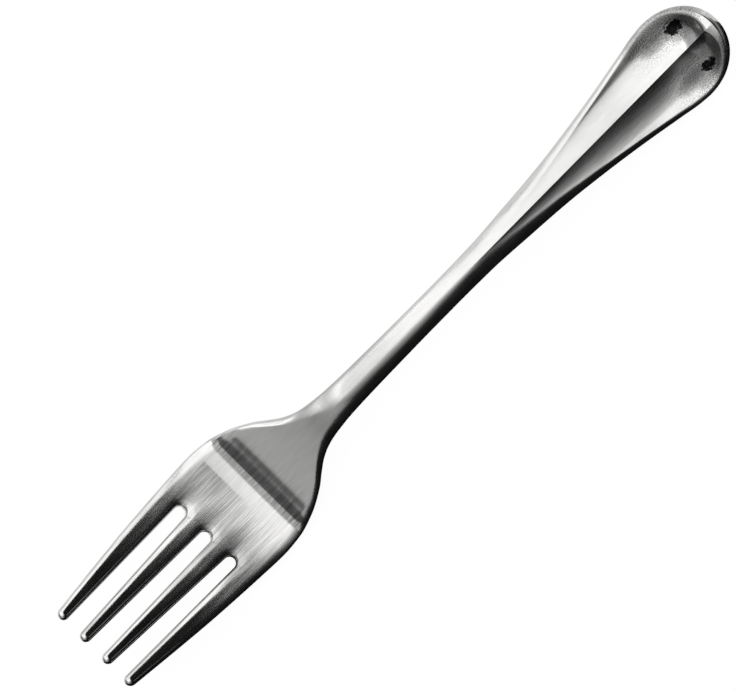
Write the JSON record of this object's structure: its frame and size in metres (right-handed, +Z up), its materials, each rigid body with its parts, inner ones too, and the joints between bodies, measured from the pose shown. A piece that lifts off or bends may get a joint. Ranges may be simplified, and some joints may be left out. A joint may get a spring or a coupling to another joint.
{
  "type": "pastry fork",
  "caption": "One-piece stainless steel pastry fork with tapered curved tines, a flat bent head, a slim stem, and a handle with a raised ridge, two hollows and an upturned rounded end.",
  "frame": {"origin": "middle of the fork's length and width, on the table plane that it rests on", "axes": "+X along the fork, from the tines to the end of the handle; +Z up, out of the concave face that carries food; +Y across the fork"},
  "size_m": [0.15, 0.0232, 0.0126],
  "materials": {
    "satin_steel": "satin, brushed along the head, smoother on the stem and handle"
  },
  "bodies": {
    "root": {"fork": "satin_steel"}
  },
  "joints": []
}
